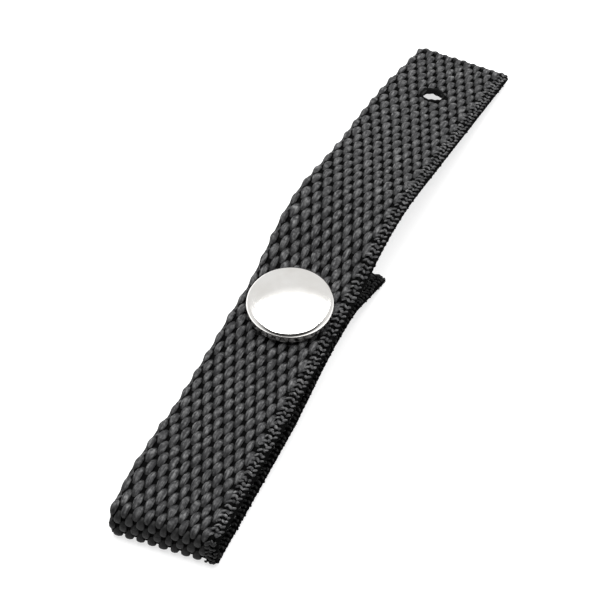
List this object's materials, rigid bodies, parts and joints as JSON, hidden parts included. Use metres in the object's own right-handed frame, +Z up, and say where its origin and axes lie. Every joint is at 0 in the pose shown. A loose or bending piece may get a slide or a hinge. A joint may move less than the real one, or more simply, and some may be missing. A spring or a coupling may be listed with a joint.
{
  "type": "snap strap",
  "caption": "Short webbing strap folded into a loop and closed by a press stud, with a screw hole in its free end, for tethering a cable, hose or tool",
  "frame": {"origin": "middle of the strap's box, on the surface that the strap lies on", "axes": "+X from the fold to the free end with the hole, +Y across the strap, +Z up"},
  "size_m": [0.1278, 0.0186, 0.0147],
  "materials": {
    "webbing": "black woven synthetic webbing, matt with a slight sheen",
    "nickel_plate": "bright nickel plate over pressed brass",
    "spring_wire": "plain drawn spring wire"
  },
  "bodies": {
    "lower_layer": {"lower_leg": "webbing", "stud_body": "nickel_plate", "eyelet_post": "nickel_plate"},
    "fold": {"fold_link": "webbing"},
    "upper_layer": {"strap_leg": "webbing", "cap_shell": "nickel_plate", "cap_post": "nickel_plate", "socket_plate": "nickel_plate", "socket_body": "nickel_plate", "socket_spring": "spring_wire"},
    "free_end": {"mount_leg": "webbing"}
  },
  "joints": [
    {"name": "fold_lower", "type": "hinge", "parent": "lower_layer", "child": "fold", "pos_m": [-0.06315, 0, 0.00075], "axis": [0, -1, 0], "range_deg": [0, 85]},
    {"name": "fold_upper", "type": "hinge", "parent": "fold", "child": "upper_layer", "pos_m": [-0.06315, 0, 0.00705], "axis": [0, -1, 0], "range_deg": [0, 85]},
    {"name": "free_end_lift", "type": "hinge", "parent": "upper_layer", "child": "free_end", "pos_m": [0.00892, 0, 0.01336], "axis": [0, -1, 0], "range_deg": [0, 75]}
  ],
  "couplings": [
    {"joint": "fold_lower", "follows": "fold_upper", "ratio": 1}
  ]
}
